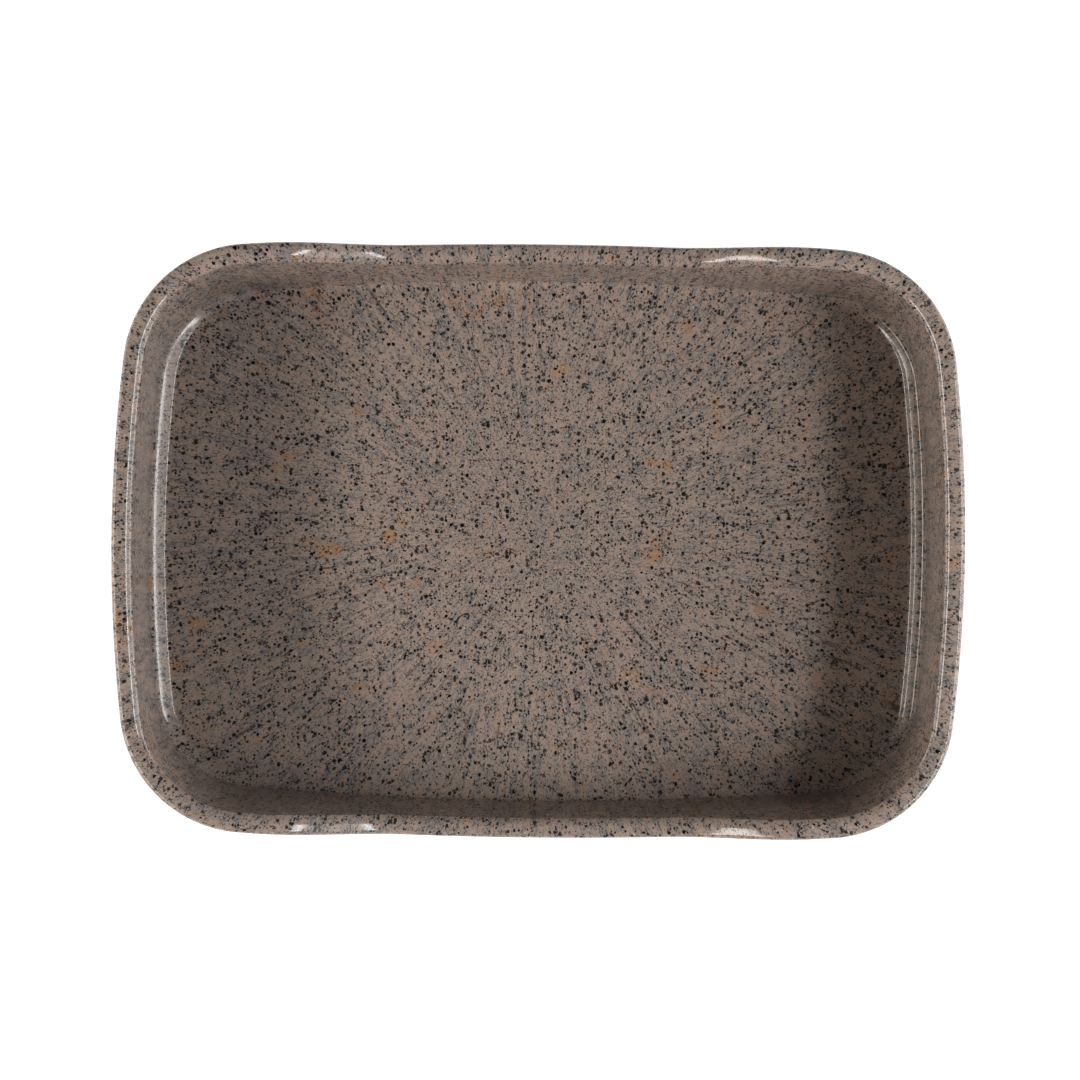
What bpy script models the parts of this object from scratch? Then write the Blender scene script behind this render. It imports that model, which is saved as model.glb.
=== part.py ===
"""Desk stacking tray: one plastic moulding on four anti-slip pads.

The moulding is a loft. Closed outlines (a rectangle with bowed sides and round corners) are stacked along
a cross-section that runs from the underside up the outside, over the rim and down the inside to the
floor. The short sides have an upright wall on a stepped foot, which nests in the rim of the tray below.
The long sides have a wall that leans in to the floor, and their rim dips in the middle, so that paper
can be reached in a stack. The section changes from one to the other round each corner.

Metres, +Z up. The origin is on the desk, under the middle of the tray. +X runs along the tray.
"""

from math import atan2, cos, hypot, pi, radians, sin, tan

import bmesh
import bpy

# Overall size
TRAY_LENGTH = 0.3726
TRAY_WIDTH = 0.2654
TRAY_HEIGHT = 0.065

# Outline of the rim: both pairs of sides are arcs that bow outward
SHORT_SIDE_BOW_RADIUS = 0.6855
LONG_SIDE_BOW_RADIUS = 2.008
CORNER_RADIUS = 0.0558
# The long sides of the floor bow a little more than those of the rim
FLOOR_LONG_SIDE_BOW_RADIUS = 1.608

# Shell, of one thickness throughout
WALL_THICKNESS = 0.003
WALL_DRAFT = radians(0.6)

# Rim
RIM_OUTER_FILLET = 0.0024
RIM_FLAT_WIDTH = 0.0011
RIM_INNER_FILLET = 0.0062
RIM_INNER_SLOPE = radians(48)
RIM_SLOPE_WIDTH = 0.00035
RIM_INNER_EDGE_RADIUS = 0.001
RIM_LOWER_EDGE_CHAMFER = 0.0006

# Dip of the rim in the middle of each long side
RIM_DIP_DEPTH = 0.027
RIM_DIP_LEVEL_LENGTH = 0.114
RIM_DIP_RAMP_LENGTH = 0.0655

# Foot of the short sides: a slightly crowned ledge that nests in the rim of the tray below, a shoulder
# and a steeper band
SHORT_WALL_LEAN = radians(0.5)
FOOT_FILLET_RADIUS = 0.003
FOOT_FILLET_SLOPE = radians(45)
LEDGE_FILLET_RADIUS = 0.004
LEDGE_SLOPE = radians(29.5)
LEDGE_CROWN_RADIUS = 0.045
SHOULDER_SLOPE = radians(33.5)
SHOULDER_RADIUS = 0.0032
BAND_SLOPE = radians(41)
BAND_WIDTH = 0.0011
# Rounding at the edge of the floor, all round
CREASE_RADIUS = 0.0032
# The floor's corners are this much rounder than the rim's outline makes them
FLOOR_CORNER_GAIN = 0.0015

# Anti-slip pads
PAD_DIAMETER = 0.012
PAD_THICKNESS = 0.0018
PAD_STANDS_PROUD = 0.001
PAD_EDGE_ROUNDING = 0.0003
PAD_GAP = 0.0003
# From the tray's outer edge to a pad's centre, along X and along Y
PAD_END_DISTANCE = 0.042
PAD_SIDE_DISTANCE = 0.040
CUT_OVERRUN = 0.001

# Facets
SHORT_HALF_SEGMENTS = 4
CORNER_SEGMENTS = 10
LONG_HALF_SEGMENTS = 13
OUTER_FILLET_SEGMENTS = 4
UNDER_RIM_SEGMENTS = 3
INNER_FILLET_SEGMENTS = 4
INNER_EDGE_SEGMENTS = 2
CREASE_SEGMENTS = 3
SHOULDER_SEGMENTS = 2
LEDGE_CROWN_SEGMENTS = 1
LEDGE_FILLET_SEGMENTS = 2
FOOT_FILLET_SEGMENTS = 2
PAD_SEGMENTS = 32

TRAY_COLOUR = (0.205, 0.165, 0.138, 1.0)
TRAY_ROUGHNESS = 0.22
TRAY_COAT = 0.3
PAD_COLOUR = (0.030, 0.030, 0.032, 1.0)
PAD_ROUGHNESS = 0.8

# Points nearer than this are one point
MERGE_DISTANCE = 0.000001

# Edges sharper than this stay sharp where a surface is shaded smooth
SHARP_ANGLE = radians(30)

UNDERSIDE_Z = PAD_STANDS_PROUD
FLOOR_Z = UNDERSIDE_Z + WALL_THICKNESS


def shares(count):
    """Even steps from 0 to 1, both ends included."""
    return [i / count for i in range(count + 1)]


def clear_scene():
    for ob in list(bpy.data.objects):
        bpy.data.objects.remove(ob, do_unlink=True)


def new_collection(name):
    collection = bpy.data.collections.new(name)
    bpy.context.scene.collection.children.link(collection)
    return collection


def new_material(name, colour, roughness, coat=0.0):
    material = bpy.data.materials.new(name)
    material.use_nodes = True
    shader = material.node_tree.nodes["Principled BSDF"]
    shader.inputs["Base Color"].default_value = colour
    shader.inputs["Roughness"].default_value = roughness
    shader.inputs["Metallic"].default_value = 0.0
    shader.inputs["Coat Weight"].default_value = coat
    return material


def rim_dip(x):
    """How far the rim lies under its end height, at a distance x from the middle of the tray."""
    level_half = RIM_DIP_LEVEL_LENGTH / 2
    along = min(max((abs(x) - level_half) / RIM_DIP_RAMP_LENGTH, 0.0), 1.0)
    return RIM_DIP_DEPTH * (0.5 + 0.5 * cos(pi * along))


def quarter_outline(short_inset, long_inset, floor_share):
    """Outline in the +X +Y quarter, from +X to +Y, with an inset for each pair of sides.

    floor_share is 0 for the rim's outline and 1 for the floor's, whose long sides bow more and whose
    corners are rounder.
    """
    long_bow = 1 / ((1 - floor_share) / LONG_SIDE_BOW_RADIUS + floor_share / FLOOR_LONG_SIDE_BOW_RADIUS)
    half_x = TRAY_LENGTH / 2 - short_inset
    half_y = TRAY_WIDTH / 2 - long_inset
    short_r = SHORT_SIDE_BOW_RADIUS - short_inset
    long_r = long_bow - long_inset
    corner_r = CORNER_RADIUS + FLOOR_CORNER_GAIN * floor_share - (short_inset + long_inset) / 2
    short_c = (half_x - short_r, 0.0)
    long_c = (0.0, half_y - long_r)
    to_short = short_r - corner_r
    to_long = long_r - corner_r
    gap_x = long_c[0] - short_c[0]
    gap_y = long_c[1] - short_c[1]
    gap = hypot(gap_x, gap_y)
    along = (to_short ** 2 - to_long ** 2 + gap ** 2) / (2 * gap)
    across = max(to_short ** 2 - along ** 2, 0.0) ** 0.5
    corner_c = (
        short_c[0] + (along * gap_x - across * gap_y) / gap,
        short_c[1] + (along * gap_y + across * gap_x) / gap,
    )
    short_end = atan2(corner_c[1] - short_c[1], corner_c[0] - short_c[0])
    long_start = atan2(corner_c[1] - long_c[1], corner_c[0] - long_c[0])

    stretches = (
        (short_c, short_r, 0.0, short_end, SHORT_HALF_SEGMENTS),
        (corner_c, corner_r, short_end, long_start, CORNER_SEGMENTS),
        (long_c, long_r, long_start, pi / 2, LONG_HALF_SEGMENTS),
    )
    points = [(half_x, 0.0)]
    for centre, radius, start, end, count in stretches:
        for share in shares(count)[1:]:
            a = start + (end - start) * share
            points.append((centre[0] + radius * cos(a), centre[1] + radius * sin(a)))
    return points


def long_side_shares():
    """Share of the long side's section at each point of a quarter outline: it changes round the corner."""
    round_corner = [share * share * (3 - 2 * share) for share in shares(CORNER_SEGMENTS)[1:]]
    return [0.0] * (SHORT_HALF_SEGMENTS + 1) + round_corner + [1.0] * LONG_HALF_SEGMENTS


def bend(start, radius, from_tilt, to_tilt, count, hollow=False):
    """Arc of the section as (inset, z, tilt), from a start point. A hollow arc has its centre above it."""
    side = -radius if hollow else radius
    centre = (start[0] - side * sin(from_tilt), start[1] - side * cos(from_tilt))
    points = []
    for share in shares(count):
        a = from_tilt + (to_tilt - from_tilt) * share
        points.append((centre[0] + side * sin(a), centre[1] + side * cos(a), a))
    return points


def uphill(point, width):
    """The point that lies further out by width, up a slope of the point's tilt."""
    return point[0] - width, point[1] + width * tan(point[2])


def short_foot(edge_inset, steep):
    """Foot of the short sides, from the floor's edge out to the wall."""
    foot = bend((edge_inset, FLOOR_Z), CREASE_RADIUS, 0.0, BAND_SLOPE, CREASE_SEGMENTS, hollow=True)
    foot += bend(
        uphill(foot[-1], BAND_WIDTH), SHOULDER_RADIUS, BAND_SLOPE, SHOULDER_SLOPE, SHOULDER_SEGMENTS)
    foot += bend(foot[-1], LEDGE_CROWN_RADIUS, SHOULDER_SLOPE, LEDGE_SLOPE, LEDGE_CROWN_SEGMENTS)[1:]
    foot += bend(
        foot[-1], LEDGE_FILLET_RADIUS,
        LEDGE_SLOPE, FOOT_FILLET_SLOPE, LEDGE_FILLET_SEGMENTS, hollow=True)[1:]
    fillet = bend(
        foot[-1], FOOT_FILLET_RADIUS, FOOT_FILLET_SLOPE, steep, FOOT_FILLET_SEGMENTS, hollow=True)
    return foot + fillet[1:]


def long_foot(edge_inset, steep, count):
    """Foot of the long sides: only the floor's rounding, in as many points as the short sides' foot."""
    return bend((edge_inset, FLOOR_Z), CREASE_RADIUS, 0.0, steep, count - 1, hollow=True)


def rim_inner_edge(steep):
    """Where the rim's inner rounding ends on the wall."""
    rim = (RIM_OUTER_FILLET + RIM_FLAT_WIDTH, TRAY_HEIGHT)
    slope = bend(rim, RIM_INNER_FILLET, 0.0, RIM_INNER_SLOPE, INNER_FILLET_SEGMENTS)
    end = (slope[-1][0] + RIM_SLOPE_WIDTH, slope[-1][1] - RIM_SLOPE_WIDTH * tan(RIM_INNER_SLOPE))
    edge = bend(end, RIM_INNER_EDGE_RADIUS, RIM_INNER_SLOPE, steep, INNER_EDGE_SEGMENTS)
    return slope + edge


def cross_sections():
    """Sections of a short and of a long side, point for point, from the underside over the rim to the floor.

    Each point is (inset, z, rides). rides is 1 where the point rides down with the rim's dip and 0
    where it stays.
    """
    steep = pi / 2 - SHORT_WALL_LEAN
    wall_top = rim_inner_edge(steep)[-1]
    wall_foot = short_foot(0.0, steep)[-1]
    edge_inset = wall_top[0] + (wall_top[1] - wall_foot[1]) * tan(SHORT_WALL_LEAN) - wall_foot[0]

    # The long walls stand on the floor's rounding, so their lean follows, here for half the dip
    long_run = edge_inset - CREASE_RADIUS - wall_top[0]
    long_lean = atan2(long_run, wall_top[1] - RIM_DIP_DEPTH / 2 - FLOOR_Z - CREASE_RADIUS)
    long_steep = pi / 2 - long_lean

    short = short_foot(edge_inset, steep)
    long = long_foot(edge_inset, long_steep, len(short))
    sections = []
    for tilt, foot in ((steep, short), (long_steep, long)):
        inner_rim = rim_inner_edge(tilt)
        lip_z = TRAY_HEIGHT - WALL_THICKNESS
        under_radius = wall_top[0] - WALL_THICKNESS - RIM_OUTER_FILLET - RIM_FLAT_WIDTH
        under = bend((RIM_OUTER_FILLET + RIM_FLAT_WIDTH, lip_z), under_radius, 0.0, tilt, UNDER_RIM_SEGMENTS)
        lip = [(RIM_LOWER_EDGE_CHAMFER, lip_z, 0.0), (0.0, lip_z + RIM_LOWER_EDGE_CHAMFER, 0.0)]
        outer = bend(
            (0.0, TRAY_HEIGHT - RIM_OUTER_FILLET), RIM_OUTER_FILLET, -pi / 2, 0.0, OUTER_FILLET_SEGMENTS)
        rim = list(reversed(under)) + lip + outer + inner_rim
        outside = [(u - WALL_THICKNESS * sin(a), z - WALL_THICKNESS * cos(a), 0) for u, z, a in foot]
        section = outside + [(u, z, 1) for u, z, _ in rim] + [(u, z, 0) for u, z, _ in reversed(foot)]
        sections.append(section)
    return sections


def floor_share_at(z):
    """0 at the height of the rim, 1 at that of the floor."""
    return min(max((TRAY_HEIGHT - z) / (TRAY_HEIGHT - FLOOR_Z), 0.0), 1.0)


def ring_points(short, long):
    """One closed ring through a point of the short sides' section and its partner of the long sides'."""
    floor_share = floor_share_at(long[1])
    plain = quarter_outline(short[0], long[0], floor_share)
    quarter = []
    for i, ((x, y), share) in enumerate(zip(plain, long_side_shares())):
        dip = rim_dip(x) * short[2]
        if dip > 0:
            shift = dip * tan(WALL_DRAFT)
            x, y = quarter_outline(short[0] + shift, long[0] + shift, floor_share)[i]
        quarter.append((x, y, short[1] + (long[1] - short[1]) * share - dip))
    back = [(-x, y, z) for x, y, z in reversed(quarter)][1:]
    left = [(-x, -y, z) for x, y, z in quarter][1:]
    front = [(x, -y, z) for x, y, z in reversed(quarter)][1:-1]
    return quarter + back + left + front


def make_body(collection, material):
    bm = bmesh.new()
    rings = []
    for short, long in zip(*cross_sections()):
        rings.append([bm.verts.new(point) for point in ring_points(short, long)])

    count = len(rings[0])
    for low, high in zip(rings, rings[1:]):
        for i in range(count):
            j = (i + 1) % count
            bm.faces.new((low[i], low[j], high[j], high[i]))
    bm.faces.new(list(reversed(rings[0])))
    bm.faces.new(rings[-1])
    # The lip's chamfer can end where the outer fillet starts, and then two rings are one
    bmesh.ops.remove_doubles(bm, verts=bm.verts, dist=MERGE_DISTANCE)
    bmesh.ops.recalc_face_normals(bm, faces=bm.faces)

    mesh = bpy.data.meshes.new("tray_body")
    bm.to_mesh(mesh)
    bm.free()
    mesh.shade_smooth()
    mesh.set_sharp_from_angle(angle=SHARP_ANGLE)
    body = bpy.data.objects.new("tray_body", mesh)
    mesh.materials.append(material)
    collection.objects.link(body)
    return body


def pad_places():
    x = TRAY_LENGTH / 2 - PAD_END_DISTANCE
    y = TRAY_WIDTH / 2 - PAD_SIDE_DISTANCE
    return {
        "front_left": (-x, -y),
        "front_right": (x, -y),
        "back_left": (-x, y),
        "back_right": (x, y),
    }


def make_cylinder(name, radius, depth, collection):
    """Upright cylinder about the origin."""
    bm = bmesh.new()
    bmesh.ops.create_cone(
        bm, cap_ends=True, segments=PAD_SEGMENTS, radius1=radius, radius2=radius, depth=depth)
    mesh = bpy.data.meshes.new(name)
    bm.to_mesh(mesh)
    bm.free()
    ob = bpy.data.objects.new(name, mesh)
    collection.objects.link(ob)
    return ob


def cut_recesses(body, cutters):
    """Shallow round recess in the underside for each pad."""
    ceiling = PAD_THICKNESS + PAD_GAP
    bottom = UNDERSIDE_Z - CUT_OVERRUN
    for place, (x, y) in pad_places().items():
        cutter = make_cylinder(
            "recess_" + place, PAD_DIAMETER / 2 + PAD_GAP, ceiling - bottom, cutters)
        cutter.location = (x, y, (ceiling + bottom) / 2)
        cutter.hide_render = True
        cutter.display_type = "WIRE"
        cut = body.modifiers.new("recess_" + place, "BOOLEAN")
        cut.operation = "DIFFERENCE"
        cut.solver = "EXACT"
        cut.object = cutter


def make_pads(collection, material):
    mesh = None
    for place, (x, y) in pad_places().items():
        name = "foot_pad_" + place
        if mesh is None:
            pad = make_cylinder(name, PAD_DIAMETER / 2, PAD_THICKNESS, collection)
            mesh = pad.data
            mesh.name = "foot_pad"
            mesh.shade_smooth()
            mesh.set_sharp_from_angle(angle=SHARP_ANGLE)
            mesh.materials.append(material)
        else:
            pad = bpy.data.objects.new(name, mesh)
            collection.objects.link(pad)
        pad.location = (x, y, PAD_THICKNESS / 2)
        rounding = pad.modifiers.new("edge_rounding", "BEVEL")
        rounding.width = PAD_EDGE_ROUNDING
        rounding.segments = 1
        rounding.limit_method = "ANGLE"
        rounding.angle_limit = radians(60)


def main():
    clear_scene()
    parts = new_collection("stacking_tray")
    cutters = new_collection("cutters")
    plastic = new_material("speckled_plastic", TRAY_COLOUR, TRAY_ROUGHNESS, TRAY_COAT)
    rubber = new_material("pad_rubber", PAD_COLOUR, PAD_ROUGHNESS)
    body = make_body(parts, plastic)
    cut_recesses(body, cutters)
    make_pads(parts, rubber)


main()
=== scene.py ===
"""Looks of the desk stacking tray: a fine shell in speckled plastic, four rubber pads, studio and camera."""

from math import atan2, copysign, cos, hypot, pi, radians, sin, tan

import bmesh
import bpy
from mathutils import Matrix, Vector


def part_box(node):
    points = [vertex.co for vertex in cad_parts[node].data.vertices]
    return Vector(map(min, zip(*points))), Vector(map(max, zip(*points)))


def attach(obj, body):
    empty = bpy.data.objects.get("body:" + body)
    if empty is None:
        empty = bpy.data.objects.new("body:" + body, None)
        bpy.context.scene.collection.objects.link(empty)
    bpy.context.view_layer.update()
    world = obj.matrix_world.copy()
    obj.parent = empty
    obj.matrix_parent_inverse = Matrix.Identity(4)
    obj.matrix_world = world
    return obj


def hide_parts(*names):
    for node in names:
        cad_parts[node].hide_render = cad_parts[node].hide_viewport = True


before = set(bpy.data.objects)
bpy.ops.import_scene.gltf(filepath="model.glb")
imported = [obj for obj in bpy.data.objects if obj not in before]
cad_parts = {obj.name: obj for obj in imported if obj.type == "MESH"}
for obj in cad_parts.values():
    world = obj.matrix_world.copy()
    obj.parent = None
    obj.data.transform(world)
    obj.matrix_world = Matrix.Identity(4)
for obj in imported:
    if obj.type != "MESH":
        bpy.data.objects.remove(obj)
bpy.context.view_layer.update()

# The tray's moulding, in metres. Overall sizes come from the frame.
BODY = "tray_body"
body_low, body_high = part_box(BODY)
WALL_THICKNESS = 0.003
WALL_DRAFT = radians(0.6)
SHORT_SIDE_BOW_RADIUS = 0.6855
LONG_SIDE_BOW_RADIUS = 2.008
FLOOR_LONG_SIDE_BOW_RADIUS = 1.608
CORNER_RADIUS = 0.0558

RIM_OUTER_FILLET = 0.0024
RIM_FLAT_WIDTH = 0.0011
RIM_INNER_FILLET = 0.0062
RIM_INNER_SLOPE = radians(48)
RIM_SLOPE_WIDTH = 0.00035
RIM_INNER_EDGE_RADIUS = 0.001
RIM_LOWER_EDGE_FILLET = 0.0006
RIM_DIP_DEPTH = 0.027
RIM_DIP_LEVEL_LENGTH = 0.114
RIM_DIP_RAMP_LENGTH = 0.0655

# Foot of the short sides: a slightly crowned ledge that nests in the rim of the tray below, a shoulder
# and a steeper band
SHORT_WALL_LEAN = radians(0.5)
FOOT_FILLET_RADIUS = 0.003
FOOT_FILLET_SLOPE = radians(45)
LEDGE_FILLET_RADIUS = 0.004
LEDGE_SLOPE = radians(29.5)
LEDGE_CROWN_RADIUS = 0.045
SHOULDER_SLOPE = radians(33.5)
SHOULDER_RADIUS = 0.0032
BAND_SLOPE = radians(41)
BAND_WIDTH = 0.0011
# Rounding at the edge of the floor, all round
CREASE_RADIUS = 0.0032
# The floor's corners are this much rounder than the rim's outline makes them
FLOOR_CORNER_GAIN = 0.0015

UNDERSIDE_Z = body_low.z
FLOOR_Z = UNDERSIDE_Z + WALL_THICKNESS
TRAY_HEIGHT = body_high.z
TRAY_LENGTH = 2 * body_high.x
# The middle of a long side stands in by the draft of the dipped rim
TRAY_WIDTH = 2 * (body_high.y + RIM_DIP_DEPTH * tan(WALL_DRAFT))

# Mesh density
SHORT_HALF_SEGMENTS = 20
CORNER_SEGMENTS = 40
LONG_HALF_SEGMENTS = 56
ARC_SEGMENTS = 14
SMALL_ARC_SEGMENTS = 6
EDGE_ARC_SEGMENTS = 8
CREASE_SEGMENTS = 8
SHOULDER_SEGMENTS = 4
LEDGE_CROWN_SEGMENTS = 5
LEDGE_FILLET_SEGMENTS = 10
FOOT_FILLET_SEGMENTS = 8
WALL_SEGMENTS = 8
FLOOR_RING_SHARES = (0.985, 0.9, 0.75, 0.6, 0.45, 0.3, 0.15)
MERGE_DISTANCE = 0.000001
SHARP_EDGE_ANGLE = radians(40)

# Pads
PADS = [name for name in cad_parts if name.startswith("foot_pad")]
PAD_GAP = 0.0003
PAD_EDGE_RADIUS = 0.0005
PAD_FACE_RING_SHARE = 0.5
PAD_SEGMENTS = 64
CUT_OVERRUN = 0.001

# Camera, from the photograph
CAMERA_HEIGHT = 1.238
CAMERA_X = -0.00565
CAMERA_Y = 0.00014
CAMERA_TURN = 0.0099
CAMERA_LENS_MM = 89.8
CAMERA_SHIFT_X = 0.0136
CAMERA_SHIFT_Y = 0.0005

# Lights: azimuth and elevation of the middle, half width and half height in degrees, radiance, colour.
# Each soft box has a bright middle and a dimmer apron under it, and low white cards stand at both ends.
# Their directions are seen from the foot of the tray's far end, at a distance of FAR_FOOT_X from its middle.
LIGHT_DISTANCE = 1.3
FAR_FOOT_X = 0.17
FAR_FOOT_Z = 0.01
COOL = (0.99, 1.0, 1.0)
WARM = (1.05, 1.0, 0.93)
SOFT_BOXES = {
    "right_core": (-14.0, 40.5, 19.0, 3.4, 14.0, COOL),
    "right_apron": (-15.0, 25.0, 19.0, 11.0, 2.0, COOL),
    "right_card": (0.0, 6.0, 26.0, 3.8, 5.5, COOL),
    "left_core": (198.0, 27.5, 22.0, 3.6, 11.0, WARM),
    "left_apron": (196.0, 27.0, 22.0, 11.0, 0.9, WARM),
    "left_card": (180.0, 6.0, 26.0, 3.6, 4.2, WARM),
}

# World: strength of the backdrop against the sine of the elevation, and its lean toward +Y
BACKDROP_FALL = (0.28, 0.42, 1.0, 0.05)
BACKDROP_LEVEL = 0.85
BACKDROP_LEAN = 0.45

STUDIO_FLOOR_HALF_SIZE = 3.0
STUDIO_FLOOR_CELLS = 12
STUDIO_FLOOR_DROP = 0.0002


def shares(count):
    """Even steps from 0 to 1, both ends included."""
    return [i / count for i in range(count + 1)]


# The moulding's shape


def rim_dip(x):
    """How far the rim lies under its end height, at a distance x from the middle of the tray."""
    along = (abs(x) - RIM_DIP_LEVEL_LENGTH / 2) / RIM_DIP_RAMP_LENGTH
    along = min(max(along, 0.0), 1.0)
    return RIM_DIP_DEPTH * (0.5 + 0.5 * cos(pi * along))


def meeting_point(centre_a, radius_a, centre_b, radius_b):
    """Where two circles about the given centres meet, on the left of the way from a to b."""
    gap_x = centre_b[0] - centre_a[0]
    gap_y = centre_b[1] - centre_a[1]
    gap = hypot(gap_x, gap_y)
    along = (radius_a ** 2 - radius_b ** 2 + gap ** 2) / (2 * gap)
    across = max(radius_a ** 2 - along ** 2, 0.0) ** 0.5
    return (
        centre_a[0] + (along * gap_x - across * gap_y) / gap,
        centre_a[1] + (along * gap_y + across * gap_x) / gap,
    )


def quarter_outline(short_inset, long_inset, floor_share):
    """Outline in the +X +Y quarter, from +X to +Y, with an inset for each pair of sides.

    floor_share is 0 for the rim's outline and 1 for the floor's, whose long sides bow more and whose
    corners are rounder.
    """
    long_bow = 1 / ((1 - floor_share) / LONG_SIDE_BOW_RADIUS + floor_share / FLOOR_LONG_SIDE_BOW_RADIUS)
    half_x = TRAY_LENGTH / 2 - short_inset
    half_y = TRAY_WIDTH / 2 - long_inset
    short_r = SHORT_SIDE_BOW_RADIUS - short_inset
    long_r = long_bow - long_inset
    corner_r = CORNER_RADIUS + FLOOR_CORNER_GAIN * floor_share - (short_inset + long_inset) / 2
    short_c = (half_x - short_r, 0.0)
    long_c = (0.0, half_y - long_r)
    corner_c = meeting_point(short_c, short_r - corner_r, long_c, long_r - corner_r)
    short_end = atan2(corner_c[1] - short_c[1], corner_c[0] - short_c[0])
    long_start = atan2(corner_c[1] - long_c[1], corner_c[0] - long_c[0])

    stretches = (
        (short_c, short_r, 0.0, short_end, SHORT_HALF_SEGMENTS),
        (corner_c, corner_r, short_end, long_start, CORNER_SEGMENTS),
        (long_c, long_r, long_start, pi / 2, LONG_HALF_SEGMENTS),
    )
    points = [(half_x, 0.0)]
    for centre, radius, start, end, count in stretches:
        for share in shares(count)[1:]:
            a = start + (end - start) * share
            points.append((centre[0] + radius * cos(a), centre[1] + radius * sin(a)))
    return points


def long_side_shares():
    """Share of the long side's section at each point of a quarter outline: it changes round the corner."""
    round_corner = [share * share * (3 - 2 * share) for share in shares(CORNER_SEGMENTS)[1:]]
    return [0.0] * (SHORT_HALF_SEGMENTS + 1) + round_corner + [1.0] * LONG_HALF_SEGMENTS


def bend(start, radius, from_tilt, to_tilt, count, hollow=False):
    """Arc of the section as (inset, z, tilt), from a start point. A hollow arc has its centre above it."""
    side = -radius if hollow else radius
    centre = (start[0] - side * sin(from_tilt), start[1] - side * cos(from_tilt))
    points = []
    for share in shares(count):
        a = from_tilt + (to_tilt - from_tilt) * share
        points.append((centre[0] + side * sin(a), centre[1] + side * cos(a), a))
    return points


def uphill(point, width):
    """The point that lies further out by width, up a slope of the point's tilt."""
    return point[0] - width, point[1] + width * tan(point[2])


def short_foot(edge_inset, steep):
    """Foot of the short sides, from the floor's edge out to the wall."""
    foot = bend((edge_inset, FLOOR_Z), CREASE_RADIUS, 0.0, BAND_SLOPE, CREASE_SEGMENTS, hollow=True)
    foot += bend(
        uphill(foot[-1], BAND_WIDTH), SHOULDER_RADIUS, BAND_SLOPE, SHOULDER_SLOPE, SHOULDER_SEGMENTS)
    foot += bend(foot[-1], LEDGE_CROWN_RADIUS, SHOULDER_SLOPE, LEDGE_SLOPE, LEDGE_CROWN_SEGMENTS)[1:]
    foot += bend(
        foot[-1], LEDGE_FILLET_RADIUS,
        LEDGE_SLOPE, FOOT_FILLET_SLOPE, LEDGE_FILLET_SEGMENTS, hollow=True)[1:]
    fillet = bend(
        foot[-1], FOOT_FILLET_RADIUS, FOOT_FILLET_SLOPE, steep, FOOT_FILLET_SEGMENTS, hollow=True)
    return foot + fillet[1:]


def long_foot(edge_inset, steep, count):
    """Foot of the long sides: only the floor's rounding, in as many points as the short sides' foot."""
    return bend((edge_inset, FLOOR_Z), CREASE_RADIUS, 0.0, steep, count - 1, hollow=True)


def rim_inner_side(steep):
    """Inner side of the rim: from the level strip over its rounding and slope to the wall's tilt."""
    rim = (RIM_OUTER_FILLET + RIM_FLAT_WIDTH, TRAY_HEIGHT)
    slope = bend(rim, RIM_INNER_FILLET, 0.0, RIM_INNER_SLOPE, ARC_SEGMENTS)
    end = (slope[-1][0] + RIM_SLOPE_WIDTH, slope[-1][1] - RIM_SLOPE_WIDTH * tan(RIM_INNER_SLOPE))
    edge = bend(end, RIM_INNER_EDGE_RADIUS, RIM_INNER_SLOPE, steep, EDGE_ARC_SEGMENTS)
    return slope + edge


def rim_section(steep, under_radius):
    """The whole rim: from the outside of the wall under the flange, round its lip and over to the inside."""
    lip_z = TRAY_HEIGHT - WALL_THICKNESS
    under = bend((RIM_OUTER_FILLET + RIM_FLAT_WIDTH, lip_z), under_radius, 0.0, steep, ARC_SEGMENTS)
    lip = bend(
        (RIM_LOWER_EDGE_FILLET, lip_z), RIM_LOWER_EDGE_FILLET, 0.0, pi / 2, SMALL_ARC_SEGMENTS, hollow=True)
    outer = bend((0.0, TRAY_HEIGHT - RIM_OUTER_FILLET), RIM_OUTER_FILLET, -pi / 2, 0.0, ARC_SEGMENTS)
    return list(reversed(under)) + lip + outer + rim_inner_side(steep)


def cross_sections():
    """Sections of a short and of a long side, point for point, from the underside over the rim to the floor.

    Each point is (inset, z, rides). rides is 1 where the point rides down with the rim's dip and 0
    where it stays.
    """
    steep = pi / 2 - SHORT_WALL_LEAN
    wall_top = rim_inner_side(steep)[-1]
    wall_foot = short_foot(0.0, steep)[-1]
    edge_inset = wall_top[0] + (wall_top[1] - wall_foot[1]) * tan(SHORT_WALL_LEAN) - wall_foot[0]

    # The long walls stand on the floor's rounding, so their lean follows, here for half the dip
    long_run = edge_inset - CREASE_RADIUS - wall_top[0]
    long_lean = atan2(long_run, wall_top[1] - RIM_DIP_DEPTH / 2 - FLOOR_Z - CREASE_RADIUS)
    long_steep = pi / 2 - long_lean

    under_radius = wall_top[0] - WALL_THICKNESS - RIM_OUTER_FILLET - RIM_FLAT_WIDTH
    short = short_foot(edge_inset, steep)
    long = long_foot(edge_inset, long_steep, len(short))
    sections = []
    for tilt, foot in ((steep, short), (long_steep, long)):
        outside = [(u - WALL_THICKNESS * sin(a), z - WALL_THICKNESS * cos(a), 0) for u, z, a in foot]
        rim = [(u, z, 1) for u, z, _ in rim_section(tilt, under_radius)]
        inside = [(u, z, 0) for u, z, _ in reversed(foot)]
        sections.append(outside + rim + inside)
    return sections


def floor_share_at(z):
    """0 at the height of the rim, 1 at that of the floor."""
    return min(max((TRAY_HEIGHT - z) / (TRAY_HEIGHT - FLOOR_Z), 0.0), 1.0)


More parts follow.
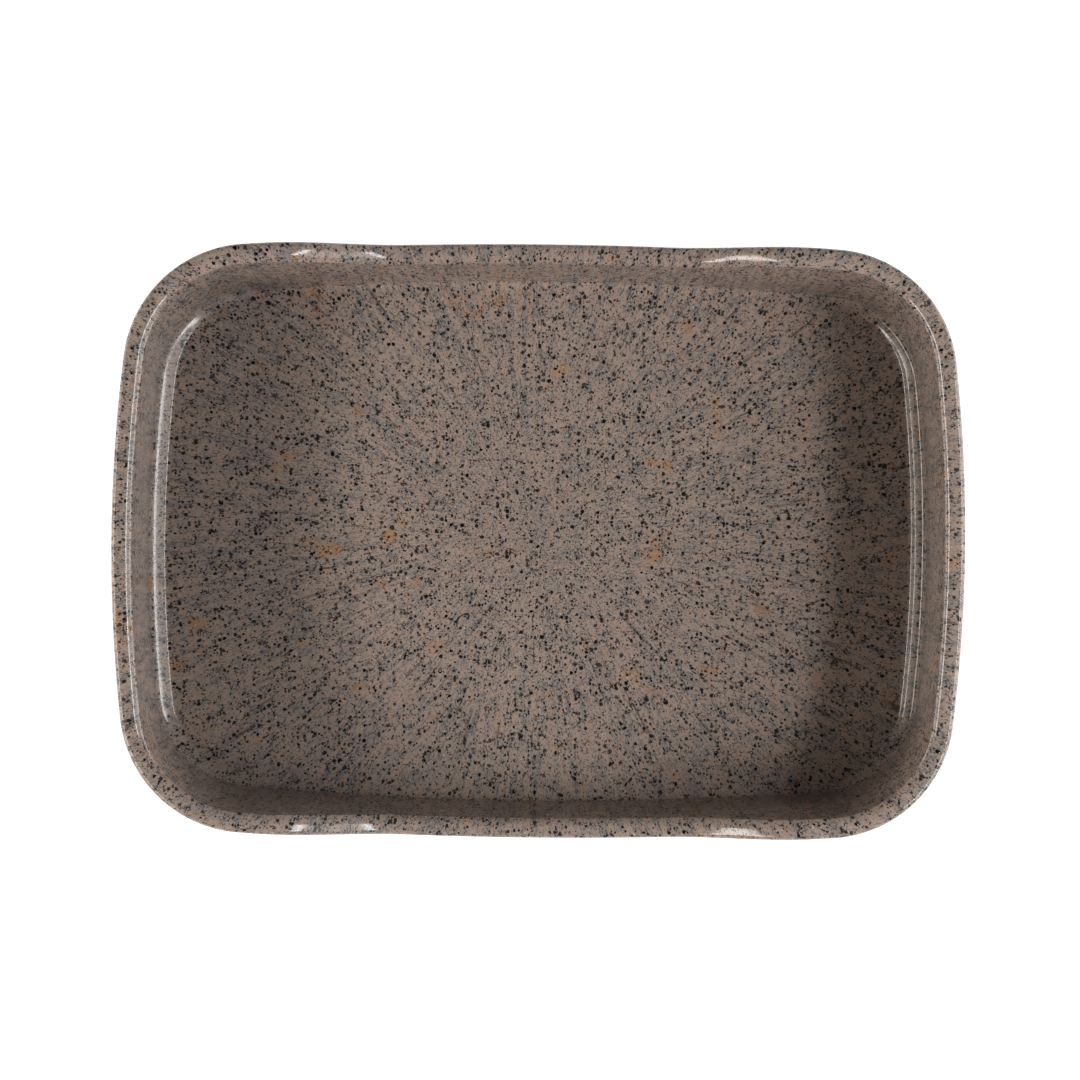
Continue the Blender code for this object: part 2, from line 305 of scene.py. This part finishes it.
def ring_points(short, long):
    """One closed ring through a point of the short sides' section and its partner of the long sides'."""
    floor_share = floor_share_at(long[1])
    plain = quarter_outline(short[0], long[0], floor_share)
    quarter = []
    for i, ((x, y), share) in enumerate(zip(plain, long_side_shares())):
        dip = rim_dip(x) * short[2]
        if dip > 0:
            shift = dip * tan(WALL_DRAFT)
            x, y = quarter_outline(short[0] + shift, long[0] + shift, floor_share)[i]
        quarter.append((x, y, short[1] + (long[1] - short[1]) * share - dip))
    back = [(-x, y, z) for x, y, z in reversed(quarter)][1:]
    left = [(-x, -y, z) for x, y, z in quarter][1:]
    front = [(x, -y, z) for x, y, z in reversed(quarter)][1:-1]
    return quarter + back + left + front


def mix_rings(low, high, share):
    return [tuple(a + (b - a) * share for a, b in zip(p, q)) for p, q in zip(low, high)]


def shrink_ring(ring, share):
    return [(x * share, y * share, z) for x, y, z in ring]


def shell_rings():
    """Rings of the whole shell, from the middle of the underside to the middle of the floor."""
    pairs = list(zip(*cross_sections()))
    rings = [ring_points(*pairs[0])]
    for before, pair in zip(pairs, pairs[1:]):
        if pair == before:
            continue
        ring = ring_points(*pair)
        if pair[0][2] != before[0][2]:
            rings += [mix_rings(rings[-1], ring, share) for share in shares(WALL_SEGMENTS)[1:-1]]
        rings.append(ring)
    under = [shrink_ring(rings[0], share) for share in reversed(FLOOR_RING_SHARES)]
    floor = [shrink_ring(rings[-1], share) for share in FLOOR_RING_SHARES]
    return under + rings + floor


def new_object(name, mesh, material=None):
    """Object of a mesh, linked to the scene."""
    ob = bpy.data.objects.new(name, mesh)
    bpy.context.scene.collection.objects.link(ob)
    if material:
        mesh.materials.append(material)
    return ob


def loft(name, rings):
    """Closed mesh through the rings, with a fan over each end."""
    bm = bmesh.new()
    loops = [[bm.verts.new(point) for point in ring] for ring in rings]
    count = len(loops[0])
    for low, high in zip(loops, loops[1:]):
        for i in range(count):
            j = (i + 1) % count
            bm.faces.new((low[i], low[j], high[j], high[i]))
    for loop in (loops[0], loops[-1]):
        middle = sum((v.co for v in loop), Vector()) / count
        hub = bm.verts.new(middle)
        for i in range(count):
            bm.faces.new((loop[i], loop[(i + 1) % count], hub))
    bmesh.ops.remove_doubles(bm, verts=bm.verts, dist=MERGE_DISTANCE)
    bmesh.ops.recalc_face_normals(bm, faces=bm.faces)
    mesh = bpy.data.meshes.new(name)
    bm.to_mesh(mesh)
    bm.free()
    mesh.shade_smooth()
    return mesh


def turned(name, profile, centre, segments):
    """Closed turned mesh about a vertical axis. profile runs from the lower face to the upper one."""
    rings = []
    for radius, z in profile:
        ring = []
        for i in range(segments):
            a = 2 * pi * i / segments
            ring.append((centre.x + radius * cos(a), centre.y + radius * sin(a), z))
        rings.append(ring)
    return loft(name, rings)


def make_pad(node, material):
    low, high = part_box(node)
    centre = (low + high) / 2
    radius = (high.x - low.x) / 2
    edge = PAD_EDGE_RADIUS
    profile = [(radius * PAD_FACE_RING_SHARE, low.z)]
    for share in shares(SMALL_ARC_SEGMENTS):
        a = pi / 2 * share
        profile.append((radius - edge + edge * sin(a), low.z + edge - edge * cos(a)))
    for share in shares(SMALL_ARC_SEGMENTS):
        a = pi / 2 * share
        profile.append((radius - edge + edge * cos(a), high.z - edge + edge * sin(a)))
    profile.append((radius * PAD_FACE_RING_SHARE, high.z))
    pad = new_object(node + "_rubber", turned(node, profile, centre, PAD_SEGMENTS), material)
    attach(pad, "root")
    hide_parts(node)


def make_recess_cutter(node):
    """Solid that cuts a pad's recess, a gap wider than the pad all round."""
    low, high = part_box(node)
    radius = (high.x - low.x) / 2 + PAD_GAP
    bottom = UNDERSIDE_Z - CUT_OVERRUN
    top = high.z + PAD_GAP
    profile = [(radius, bottom), (radius, top)]
    return new_object("cutter_" + node, turned(node, profile, (low + high) / 2, PAD_SEGMENTS))


def make_shell(material):
    shell = new_object("tray_shell", loft("tray_shell", shell_rings()), material)
    cutters = [make_recess_cutter(node) for node in PADS]
    for cutter in cutters:
        cut = shell.modifiers.new(cutter.name, "BOOLEAN")
        cut.operation = "DIFFERENCE"
        cut.solver = "EXACT"
        cut.object = cutter
    depsgraph = bpy.context.evaluated_depsgraph_get()
    mesh = bpy.data.meshes.new_from_object(shell.evaluated_get(depsgraph))
    shell.modifiers.clear()
    shell.data = mesh
    mesh.set_sharp_from_angle(angle=SHARP_EDGE_ANGLE)
    for cutter in cutters:
        bpy.data.objects.remove(cutter)
    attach(shell, "root")
    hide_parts(BODY)


# Materials


class Graph:
    """Short calls that add nodes to a material or world and link them."""

    def __init__(self, owner, root):
        owner.use_nodes = True
        self.owner = owner
        self.tree = owner.node_tree
        self.root = self.tree.nodes[root]

    def feed(self, socket, value):
        if isinstance(value, bpy.types.NodeSocket):
            self.tree.links.new(value, socket)
        else:
            socket.default_value = value

    def node(self, kind, inputs=None, **settings):
        made = self.tree.nodes.new(kind)
        for name, value in settings.items():
            setattr(made, name, value)
        for name, value in (inputs or {}).items():
            self.feed(made.inputs[name], value)
        return made

    def math(self, operation, *values):
        made = self.node("ShaderNodeMath", operation=operation)
        for socket, value in zip(made.inputs, values):
            self.feed(socket, value)
        return made.outputs[0]

    def vector(self, operation, *values):
        made = self.node("ShaderNodeVectorMath", operation=operation)
        for socket, value in zip(made.inputs, values):
            self.feed(socket, value)
        return made.outputs["Value" if operation in ("DOT_PRODUCT", "LENGTH") else "Vector"]

    def scaled(self, vector, factor):
        made = self.node("ShaderNodeVectorMath", {0: vector, "Scale": factor}, operation="SCALE")
        return made.outputs["Vector"]

    def rise(self, value, low, high, start, end):
        """Smooth step from start at low to end at high."""
        made = self.node(
            "ShaderNodeMapRange",
            {"Value": value, "From Min": low, "From Max": high, "To Min": start, "To Max": end},
            interpolation_type="SMOOTHSTEP")
        return made.outputs["Result"]

    def step(self, value, name):
        """One of the named smooth steps."""
        return self.rise(value, *STEPS[name])

    def noise_node(self, vector, name):
        """One of the named noises."""
        size, detail, roughness, seed = NOISES[name]
        placed = self.vector("MULTIPLY_ADD", vector, (1 / size,) * 3, (seed, seed * NOISE_SEED_TURN, -seed))
        return self.node(
            "ShaderNodeTexNoise",
            {"Vector": placed, "Scale": 1.0, "Detail": detail, "Roughness": roughness})

    def noise(self, vector, name):
        """Value of a named noise, from 0 to 1."""
        return self.noise_node(vector, name).outputs[0]

    def paint(self, share, under, over):
        made = self.node("ShaderNodeMix", {0: share}, data_type="RGBA")
        self.feed(made.inputs[6], under)
        self.feed(made.inputs[7], over)
        return made.outputs[2]

    def finish(self, **sockets):
        """Feed the sockets of the root node, whose names are written with underscores for spaces."""
        for name, value in sockets.items():
            self.feed(self.root.inputs[name.replace("_", " ")], value)
        return self.owner


def material_graph(name):
    return Graph(bpy.data.materials.new(name), "Principled BSDF")


def colour(red, green, blue):
    return (red, green, blue, 1.0)


UP = (0.0, 0.0, 1.0)
HALF_GREY = (0.5, 0.5, 0.5)

TAN = colour(0.485, 0.385, 0.32)
PINK = colour(0.52, 0.385, 0.325)
TAN_GRAIN = colour(0.23, 0.19, 0.165)
MAUVE = colour(0.395, 0.335, 0.31)
MAUVE_GRAIN = colour(0.15, 0.135, 0.135)
PEACH = colour(0.62, 0.40, 0.265)
BLACK = colour(0.006, 0.007, 0.009)
BLUE_GREY = colour(0.165, 0.175, 0.178)
RUST = colour(0.56, 0.28, 0.12)
WHITE = colour(0.80, 0.77, 0.73)
PAD_DARK = colour(0.022, 0.022, 0.024)
PAD_PALE = colour(0.045, 0.045, 0.047)
STUDIO_DARK = colour(0.30, 0.30, 0.30)
STUDIO_PALE = colour(0.32, 0.32, 0.32)
STUDIO_GLOW = colour(1.0, 1.0, 1.0)

# Where the melt came in, in the middle of the floor
GATE = (0.0, 0.006, 0.0)
# Coordinates drawn out along the flow: metres for a radian round the gate, and for a metre of travel
RAY_SPREAD = 0.16
RAY_PITCH = 0.12
WARP_REACH = 0.0007
RUST_WARP = 2.0

# Noises: size in metres, detail, roughness, seed
NOISES = {
    "grain": (0.0006, 1.0, 0.6, 0.0),
    "warp": (0.0011, 1.0, 0.5, 0.0),
    "drift": (0.008, 3.0, 0.6, 5.0),
    "rays": (0.0028, 3.0, 0.6, 9.0),
    "halo": (0.0030, 3.0, 0.6, 3.0),
    "blush": (0.005, 2.0, 0.6, 17.0),
    "peach": (0.0032, 2.0, 0.6, 13.0),
    "rust": (0.019, 4.0, 0.65, 21.0),
    "smear": (0.0042, 3.0, 0.65, 71.0),
    "thread": (0.0036, 1.0, 0.5, 41.0),
    "thread_gate": (0.0042, 1.0, 0.5, 47.0),
    "skin": (0.0025, 2.0, 0.5, 0.0),
    "pad_grain": (0.0006, 3.0, 0.5, 0.0),
    "studio_grain": (0.004, 2.0, 0.5, 0.0),
}
# A seed shifts a pattern along the axes, by this multiple of itself along one of them
NOISE_SEED_TURN = 1.7
SPECK_SEED_TURN = 0.6

# Smooth steps: the two values between which the step lies, and what it gives at each
STEPS = {
    # Against the travel of the melt in metres
    "grain_smear": (0.0, 0.12, 0.0, 0.00035),
    "speck_stretch": (0.03, 0.18, 1.0, 0.6),
    "speck_thinning": (0.03, 0.17, 1.03, 0.92),
    # far_shade: painted shade on the floor, deeper toward its far ends
    "far_shade": (0.05, 0.2, 0.0, 0.16),
    # Against a place in metres
    # side_shade and shade_height: painted shade deeper toward one side, fading out up the walls
    "side_shade": (0.0, 0.17, 0.0, 0.18),
    "shade_height": (0.012, 0.045, 1.0, 0.0),
    # Against a noise, up to the strength of the paint
    "mauve": (0.46, 0.58, 0.0, 1.0),
    "grain": (0.38, 0.50, 0.0, 1.0),
    "blush": (0.42, 0.58, 0.0, 1.0),
    "peach": (0.74, 0.86, 0.0, 0.55),
    "halo": (0.66, 0.82, 0.0, 0.32),
    "rust": (0.60, 0.71, 0.0, 0.6),
    "smear": (0.61, 0.72, 0.0, 0.6),
    "thread": (0.034, 0.016, 0.0, 1.0),
    "thread_gate": (0.54, 0.60, 0.0, 0.8),
    "speck_crowd": (0.38, 0.80, 0.60, 1.40),
    "pad_roughness": (0.2, 0.8, 0.7, 0.9),
    # Against the distance from a speck's middle, in radii
    "speck_edge": (1.06, 0.92, 0.0, 1.0),
}

# How much of the rays goes into each mask
MAUVE_RAYS = 0.6
MAUVE_DRIFT = 0.4
PEACH_RAYS = 0.3
HALO_RAYS = 0.25
CROWD_RAYS = 0.3
# Mauve ground shows a little more of its grain
MAUVE_GRAIN_SHIFT = -0.03
THREAD_MIDDLE = 0.5

# Specks: size of a cell, spread of the radius, both in metres, and seed
SPECKS = {
    "coarse": (0.0023, 0.00057, 11.0),
    "medium": (0.00155, 0.00036, 31.0),
    "pale": (0.0022, 0.00024, 61.0),
}
# The least radius is this share of the spread, and the power makes large specks rare
SPECK_LEAST_RADIUS = 0.45
SPECK_RADIUS_POWER = 2.0
SPECK_LEAST_STRENGTH = 0.8
SPECK_STRENGTH_SPREAD = 0.2
PALE_STRENGTH = 0.7

# Painted shade on the floor deepens toward this side
SHADED_SIDE = (0.94, -0.35, 0.0)
SKIN_ROUGHNESS = 0.13
SKIN_BUMP_STRENGTH = 0.06
PAD_BUMP_STRENGTH = 0.3
BUMP_DISTANCE = 0.0002
STUDIO_ROUGHNESS = 0.8
STUDIO_GLOW_STRENGTH = 0.96


def bumped(g, height, strength):
    """Normal of a surface with a fine relief."""
    bump = g.node("ShaderNodeBump", {"Strength": strength, "Distance": BUMP_DISTANCE, "Height": height})
    return bump.outputs["Normal"]


def flow_lines(g, place, normal, height):
    """Direction of the melt's flow along the surface, how far it ran, and coordinates drawn out along it.

    The melt ran outward from the gate, up the walls and over the rim.
    """
    flat = g.vector("MULTIPLY", g.vector("SUBTRACT", place, GATE), (1.0, 1.0, 0.0))
    outward = g.vector("NORMALIZE", flat)
    facing = g.vector("DOT_PRODUCT", outward, normal)
    level = g.vector("SUBTRACT", outward, g.scaled(normal, facing))
    climb = g.vector("SUBTRACT", UP, g.scaled(normal, g.vector("DOT_PRODUCT", normal, UP)))
    flow = g.vector("NORMALIZE", g.vector("ADD", level, g.scaled(climb, g.math("ABSOLUTE", facing))))
    travel = g.math("ADD", g.vector("LENGTH", flat), height)
    along = g.scaled(UP, g.math("MULTIPLY", travel, RAY_PITCH))
    return flow, travel, g.vector("ADD", g.scaled(outward, RAY_SPREAD), along)


def streaked_grain(g, place, flow, reach):
    """Fine noise that is smeared along the flow: the mean of three taps, reach apart."""
    along = g.scaled(flow, reach)
    spots = (place, g.vector("ADD", place, along), g.vector("SUBTRACT", place, along))
    taps = [g.noise(spot, "grain") for spot in spots]
    total = g.math("ADD", g.math("ADD", taps[0], taps[1]), taps[2])
    return g.math("MULTIPLY", total, 1 / len(taps))


def specks(g, place, flow, kind, stretch, crowd):
    """Mask of specks, one to a cell at most, drawn out along the flow."""
    cell, radius, seed = SPECKS[kind]
    spot = g.vector("MULTIPLY_ADD", place, (1 / cell,) * 3, (seed, -seed, seed * SPECK_SEED_TURN))
    cells = g.node("ShaderNodeTexVoronoi", {"Vector": spot, "Scale": 1.0}, voronoi_dimensions="3D")
    away = g.scaled(g.vector("SUBTRACT", spot, cells.outputs["Position"]), cell)
    run = g.vector("DOT_PRODUCT", away, flow)
    run_squared = g.math("MULTIPLY", run, run)
    beside = g.math("SUBTRACT", g.vector("DOT_PRODUCT", away, away), run_squared)
    reach = g.math("SQRT", g.math("MULTIPLY_ADD", run_squared, stretch, beside))
    draw = g.node("ShaderNodeSeparateColor", {"Color": cells.outputs["Color"]}).outputs
    size = g.math(
        "MULTIPLY_ADD", g.math("POWER", draw["Red"], SPECK_RADIUS_POWER), radius, radius * SPECK_LEAST_RADIUS)
    mask = g.step(g.math("DIVIDE", reach, g.math("MULTIPLY", size, crowd)), "speck_edge")
    strength = g.math("MULTIPLY_ADD", draw["Green"], SPECK_STRENGTH_SPREAD, SPECK_LEAST_STRENGTH)
    return g.math("MULTIPLY", mask, strength)


def ground_colour(g, place, bent, flow, travel, rays):
    """Tan and mauve patches, each with its own dark grain, and peach clouds."""
    grain = streaked_grain(g, place, flow, g.step(travel, "grain_smear"))
    drift = g.math("MULTIPLY", g.noise(place, "drift"), MAUVE_DRIFT)
    mauve = g.step(g.math("MULTIPLY_ADD", rays, MAUVE_RAYS, drift), "mauve")
    open_grain = g.step(g.math("MULTIPLY_ADD", mauve, MAUVE_GRAIN_SHIFT, grain), "grain")
    blush = g.step(g.noise(bent, "blush"), "blush")
    tan_ground = g.paint(open_grain, TAN_GRAIN, g.paint(blush, TAN, PINK))
    ground = g.paint(mauve, tan_ground, g.paint(open_grain, MAUVE_GRAIN, MAUVE))
    peach = g.step(g.math("MULTIPLY_ADD", rays, PEACH_RAYS, g.noise(bent, "peach")), "peach")
    return g.paint(peach, ground, PEACH)


def curly_threads(g, place, bent):
    """Mask of short threads, where a noise crosses its middle value."""
    crossing = g.math("ABSOLUTE", g.math("SUBTRACT", g.noise(bent, "thread"), THREAD_MIDDLE))
    return g.math(
        "MULTIPLY", g.step(crossing, "thread"), g.step(g.noise(place, "thread_gate"), "thread_gate"))


def painted_floor_shade(g, place, travel, height):
    """Share of black painted into the colour as shade: the floor darkens toward its far ends, and more on one
    side.
    """
    aside = g.vector("DOT_PRODUCT", place, SHADED_SIDE)
    shade = g.math("ADD", g.step(travel, "far_shade"), g.step(aside, "side_shade"))
    return g.math("MULTIPLY", shade, g.step(height, "shade_height"))


def speckled_plastic():
    g = material_graph("speckled_plastic")
    at = g.node("ShaderNodeTexCoord").outputs
    place = at["Object"]
    height = g.vector("DOT_PRODUCT", place, UP)
    flow, travel, ray = flow_lines(g, place, at["Normal"], height)
    warp = g.vector("SUBTRACT", g.noise_node(place, "warp").outputs["Color"], HALF_GREY)
    warp = g.scaled(warp, WARP_REACH)
    bent = g.vector("ADD", place, warp)
    rays = g.noise(ray, "rays")
    halo = g.noise(bent, "halo")

    skin = ground_colour(g, place, bent, flow, travel, rays)
    skin = g.paint(g.step(g.math("MULTIPLY_ADD", rays, HALO_RAYS, halo), "halo"), skin, BLUE_GREY)
    rust = g.noise(g.vector("ADD", place, g.scaled(warp, RUST_WARP)), "rust")
    skin = g.paint(g.step(rust, "rust"), skin, RUST)
    skin = g.paint(g.step(g.noise(ray, "smear"), "smear"), skin, BLACK)
    skin = g.paint(curly_threads(g, place, bent), skin, BLACK)

    crowd = g.step(g.math("MULTIPLY_ADD", rays, CROWD_RAYS, halo), "speck_crowd")
    crowd = g.math("MULTIPLY", crowd, g.step(travel, "speck_thinning"))
    stretch = g.step(travel, "speck_stretch")
    coarse = specks(g, bent, flow, "coarse", stretch, crowd)
    medium = specks(g, bent, flow, "medium", stretch, crowd)
    skin = g.paint(g.math("MAXIMUM", coarse, medium), skin, BLACK)
    pale = specks(g, bent, flow, "pale", stretch, 1.0)
    skin = g.paint(g.math("MULTIPLY", pale, PALE_STRENGTH), skin, WHITE)
    # Painted shade: the floor and the foot of the walls darken toward the far ends and toward one side
    skin = g.paint(painted_floor_shade(g, place, travel, height), skin, BLACK)

    relief = bumped(g, g.noise(place, "skin"), SKIN_BUMP_STRENGTH)
    return g.finish(Base_Color=skin, Roughness=SKIN_ROUGHNESS, Normal=relief)


def pad_rubber():
    g = material_graph("pad_rubber")
    grain = g.noise(g.node("ShaderNodeTexCoord").outputs["Object"], "pad_grain")
    return g.finish(
        Base_Color=g.paint(grain, PAD_DARK, PAD_PALE), Roughness=g.step(grain, "pad_roughness"),
        Normal=bumped(g, grain, PAD_BUMP_STRENGTH))


def floor_white():
    g = material_graph("floor_white")
    grain = g.noise(g.node("ShaderNodeTexCoord").outputs["Object"], "studio_grain")
    return g.finish(
        Base_Color=g.paint(grain, STUDIO_DARK, STUDIO_PALE), Roughness=STUDIO_ROUGHNESS,
        Emission_Color=STUDIO_GLOW, Emission_Strength=STUDIO_GLOW_STRENGTH)


# Studio


def make_floor():
    bm = bmesh.new()
    bmesh.ops.create_grid(
        bm, x_segments=STUDIO_FLOOR_CELLS, y_segments=STUDIO_FLOOR_CELLS, size=STUDIO_FLOOR_HALF_SIZE)
    mesh = bpy.data.meshes.new("studio_floor")
    bm.to_mesh(mesh)
    bm.free()
    floor = new_object("studio_floor", mesh, floor_white())
    floor.location.z = -STUDIO_FLOOR_DROP


def make_soft_box(name, azimuth, elevation, half_width, half_height, radiance, tint):
    """Flat lamp that faces the tray's far foot and is not seen by the camera."""
    a, e = radians(azimuth), radians(elevation)
    way = Vector((cos(a) * cos(e), sin(a) * cos(e), sin(e)))
    lamp = bpy.data.lights.new("soft_box_" + name, "AREA")
    lamp.shape = "RECTANGLE"
    lamp.size = 2 * LIGHT_DISTANCE * tan(radians(half_width))
    lamp.size_y = 2 * LIGHT_DISTANCE * tan(radians(half_height))
    lamp.energy = radiance * pi * lamp.size * lamp.size_y
    lamp.color = tint
    ob = bpy.data.objects.new(lamp.name, lamp)
    bpy.context.scene.collection.objects.link(ob)
    foot = Vector((copysign(FAR_FOOT_X, -way.x), 0.0, FAR_FOOT_Z))
    ob.location = foot + way * LIGHT_DISTANCE
    ob.rotation_euler = way.to_track_quat("Z", "Y").to_euler()
    ob.visible_camera = False


def make_world():
    """Dim grey surroundings: brightest low down and behind the tray, and nearly black overhead."""
    g = Graph(bpy.data.worlds.new("studio"), "Background")
    way = g.node("ShaderNodeSeparateXYZ", {0: g.node("ShaderNodeTexCoord").outputs["Generated"]})
    fall = g.rise(way.outputs["Z"], *BACKDROP_FALL)
    lean = g.math("MULTIPLY_ADD", way.outputs["Y"], BACKDROP_LEAN, BACKDROP_LEVEL)
    bpy.context.scene.world = g.finish(Strength=g.math("MULTIPLY", fall, lean))


def make_camera():
    camera = bpy.data.cameras.new("camera")
    camera.lens = CAMERA_LENS_MM
    camera.shift_x = CAMERA_SHIFT_X
    camera.shift_y = CAMERA_SHIFT_Y
    ob = bpy.data.objects.new("camera", camera)
    bpy.context.scene.collection.objects.link(ob)
    ob.location = (CAMERA_X, CAMERA_Y, CAMERA_HEIGHT)
    ob.rotation_euler = (0.0, 0.0, CAMERA_TURN)
    bpy.context.scene.camera = ob


make_shell(speckled_plastic())
rubber = pad_rubber()
for pad_node in PADS:
    make_pad(pad_node, rubber)
make_floor()
for box_name, box_values in SOFT_BOXES.items():
    make_soft_box(box_name, *box_values)
make_world()
make_camera()
bpy.context.scene.view_settings.view_transform = "Standard"
